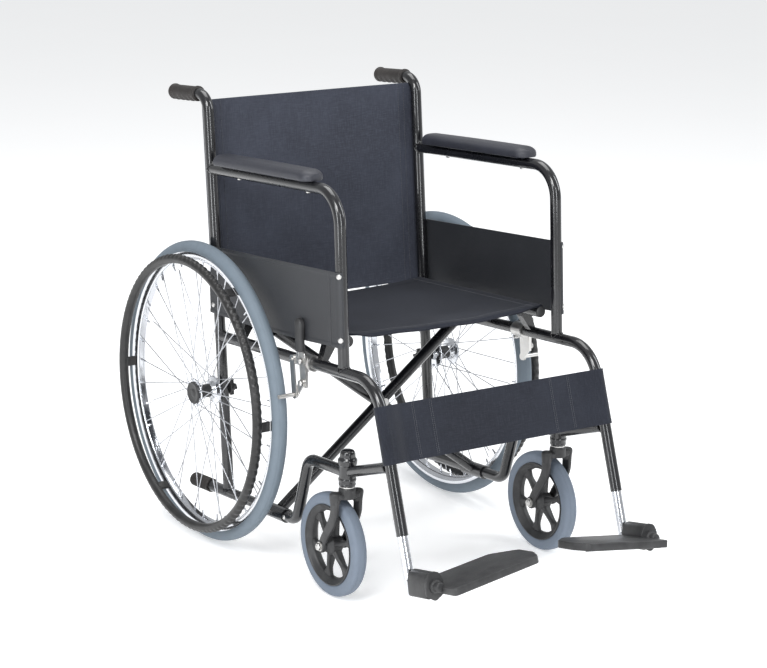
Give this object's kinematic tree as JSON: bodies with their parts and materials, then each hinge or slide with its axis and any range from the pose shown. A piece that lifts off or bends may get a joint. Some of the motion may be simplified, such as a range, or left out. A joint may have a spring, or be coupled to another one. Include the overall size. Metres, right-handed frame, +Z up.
{
  "type": "manual wheelchair",
  "caption": "Folding manual wheelchair with crossed-tube brace, spoked rear wheels, swivelling casters, fixed armrests, flip-up footplates and push-to-lock brakes.",
  "frame": {"origin": "middle of the footprint on the floor, half way between the two sides and between the footplates' front edge and the rear tyres' back", "axes": "+Z up, -Y is the way the chair faces, +X is the occupant's left"},
  "size_m": [0.676, 1.1044, 0.8947],
  "materials": {
    "frame_paint": "gloss black powder coat",
    "panel_sheet": "grained black sheet",
    "grip_rubber": "matt moulded rubber",
    "pad_vinyl": "grained black vinyl",
    "tyre_grey": "blue-grey solid tyre",
    "chrome": "bright chrome plate",
    "spoke_wire": "galvanised wire",
    "handrim_plastic": "black moulded plastic",
    "black_plastic": "black moulded plastic",
    "zinc_plate": "bright zinc plate",
    "sling_nylon": "black woven nylon"
  },
  "bodies": {
    "right_frame": {"right_back_cane": "frame_paint", "right_arm_tube": "frame_paint", "right_upper_rail": "frame_paint", "right_lower_rail": "frame_paint", "right_caster_head": "frame_paint", "right_push_grip": "grip_rubber", "right_tip_cap": "grip_rubber", "right_arm_pad": "pad_vinyl", "right_side_panel": "panel_sheet", "right_axle": "spoke_wire", "right_brake_bracket": "zinc_plate", "back_sling": "sling_nylon", "calf_strap": "sling_nylon"},
    "left_frame": {"left_back_cane": "frame_paint", "left_arm_tube": "frame_paint", "left_upper_rail": "frame_paint", "left_lower_rail": "frame_paint", "left_caster_head": "frame_paint", "left_push_grip": "grip_rubber", "left_tip_cap": "grip_rubber", "left_arm_pad": "pad_vinyl", "left_side_panel": "panel_sheet", "left_axle": "spoke_wire", "left_brake_bracket": "zinc_plate"},
    "cross_a": {"cross_a": "frame_paint", "seat_rail_a": "frame_paint", "pivot_bolt": "zinc_plate", "seat_sling": "sling_nylon"},
    "cross_b": {"cross_b": "frame_paint", "seat_rail_b": "frame_paint"},
    "right_wheel": {"right_tyre": "tyre_grey", "right_rim": "chrome", "right_spokes": "spoke_wire", "right_hub": "chrome", "right_handrim": "handrim_plastic"},
    "right_caster_fork": {"right_caster_fork": "frame_paint", "right_caster_bolt": "zinc_plate"},
    "right_caster_wheel": {"right_caster_core": "black_plastic", "right_caster_tyre": "tyre_grey"},
    "right_footrest": {"right_footrest_tube": "chrome"},
    "right_footplate": {"right_footplate": "black_plastic"},
    "right_brake_lever": {"right_brake_lever": "zinc_plate", "right_brake_grip": "black_plastic"},
    "right_brake_link": {"right_brake_link": "zinc_plate"},
    "right_brake_shoe": {"right_brake_shoe": "zinc_plate"},
    "left_wheel": {"left_tyre": "tyre_grey", "left_rim": "chrome", "left_spokes": "spoke_wire", "left_hub": "chrome", "left_handrim": "handrim_plastic"},
    "left_caster_fork": {"left_caster_fork": "frame_paint", "left_caster_bolt": "zinc_plate"},
    "left_caster_wheel": {"left_caster_core": "black_plastic", "left_caster_tyre": "tyre_grey"},
    "left_footrest": {"left_footrest_tube": "chrome"},
    "left_footplate": {"left_footplate": "black_plastic"},
    "left_brake_lever": {"left_brake_lever": "zinc_plate", "left_brake_grip": "black_plastic"},
    "left_brake_link": {"left_brake_link": "zinc_plate"},
    "left_brake_shoe": {"left_brake_shoe": "zinc_plate"}
  },
  "joints": [
    {"name": "fold", "type": "hinge", "parent": "right_frame", "child": "cross_a", "pos_m": [-0.2465, 0.05244, 0.10167], "axis": [0, -0.9971, 0.0767], "range_deg": [0, 44.5], "deforming": ["seat_sling", "back_sling", "calf_strap"]},
    {"name": "cross_pivot", "type": "hinge", "parent": "cross_a", "child": "cross_b", "pos_m": [0, 0.06669, 0.28687], "axis": [0, -0.9971, 0.0767], "range_deg": [-89, 0]},
    {"name": "left_rail_hinge", "type": "hinge", "parent": "cross_b", "child": "left_frame", "pos_m": [0.2465, 0.05244, 0.10167], "axis": [0, -0.9971, 0.0767], "range_deg": [0, 44.5]},
    {"name": "right_wheel_turn", "type": "hinge", "parent": "right_frame", "child": "right_wheel", "pos_m": [-0.2895, 0.25131, 0.301], "axis": [1, 0, 0], "continuous": true},
    {"name": "right_caster_swivel", "type": "hinge", "parent": "right_frame", "child": "right_caster_fork", "pos_m": [-0.2465, -0.20569, 0.25], "axis": [0, 0, 1], "continuous": true},
    {"name": "right_caster_turn", "type": "hinge", "parent": "right_caster_fork", "child": "right_caster_wheel", "pos_m": [-0.2465, -0.16069, 0.1], "axis": [1, 0, 0], "continuous": true},
    {"name": "right_footrest_height", "type": "slide", "parent": "right_frame", "child": "right_footrest", "axis": [0, -0.3305, -0.9438], "range_m": [-0.035, 0.03]},
    {"name": "right_footplate_flip", "type": "hinge", "parent": "right_footrest", "child": "right_footplate", "pos_m": [-0.2465, -0.41656, 0.10784], "axis": [0, -0.9785, 0.2062], "range_deg": [0, 85]},
    {"name": "right_brake", "type": "hinge", "parent": "right_frame", "child": "right_brake_lever", "pos_m": [-0.2465, -0.07311, 0.43829], "axis": [1, 0, 0], "range_deg": [0, 35]},
    {"name": "right_brake_link_pin", "type": "hinge", "parent": "right_brake_lever", "child": "right_brake_link", "pos_m": [-0.2465, -0.04519, 0.43615], "axis": [1, 0, 0], "range_deg": [-22.02, 0]},
    {"name": "right_brake_shoe_pivot", "type": "hinge", "parent": "right_frame", "child": "right_brake_shoe", "pos_m": [-0.2465, -0.07633, 0.39642], "axis": [1, 0, 0], "range_deg": [0, 32.71]},
    {"name": "left_wheel_turn", "type": "hinge", "parent": "left_frame", "child": "left_wheel", "pos_m": [0.2895, 0.25131, 0.301], "axis": [1, 0, 0], "continuous": true},
    {"name": "left_caster_swivel", "type": "hinge", "parent": "left_frame", "child": "left_caster_fork", "pos_m": [0.2465, -0.20569, 0.25], "axis": [0, 0, 1], "continuous": true},
    {"name": "left_caster_turn", "type": "hinge", "parent": "left_caster_fork", "child": "left_caster_wheel", "pos_m": [0.2465, -0.16069, 0.1], "axis": [1, 0, 0], "continuous": true},
    {"name": "left_footrest_height", "type": "slide", "parent": "left_frame", "child": "left_footrest", "axis": [0, -0.3305, -0.9438], "range_m": [-0.035, 0.03]},
    {"name": "left_footplate_flip", "type": "hinge", "parent": "left_footrest", "child": "left_footplate", "pos_m": [0.2465, -0.41656, 0.10784], "axis": [0, -0.9785, 0.2062], "range_deg": [-85, 0]},
    {"name": "left_brake", "type": "hinge", "parent": "left_frame", "child": "left_brake_lever", "pos_m": [0.2465, -0.07311, 0.43829], "axis": [1, 0, 0], "range_deg": [0, 35]},
    {"name": "left_brake_link_pin", "type": "hinge", "parent": "left_brake_lever", "child": "left_brake_link", "pos_m": [0.2465, -0.04519, 0.43615], "axis": [1, 0, 0], "range_deg": [-22.02, 0]},
    {"name": "left_brake_shoe_pivot", "type": "hinge", "parent": "left_frame", "child": "left_brake_shoe", "pos_m": [0.2465, -0.07633, 0.39642], "axis": [1, 0, 0], "range_deg": [0, 32.71]}
  ],
  "couplings": [
    {"joint": "cross_pivot", "follows": "fold", "ratio": -2},
    {"joint": "left_rail_hinge", "follows": "fold", "ratio": 1},
    {"joint": "right_footplate_flip", "follows": "fold", "ratio": 1.9},
    {"joint": "right_brake_link_pin", "follows": "right_brake", "ratio": -0.62886},
    {"joint": "right_brake_shoe_pivot", "follows": "right_brake", "ratio": 0.93429},
    {"joint": "left_footplate_flip", "follows": "fold", "ratio": -1.9},
    {"joint": "left_brake_link_pin", "follows": "left_brake", "ratio": -0.62886},
    {"joint": "left_brake_shoe_pivot", "follows": "left_brake", "ratio": 0.93429}
  ]
}
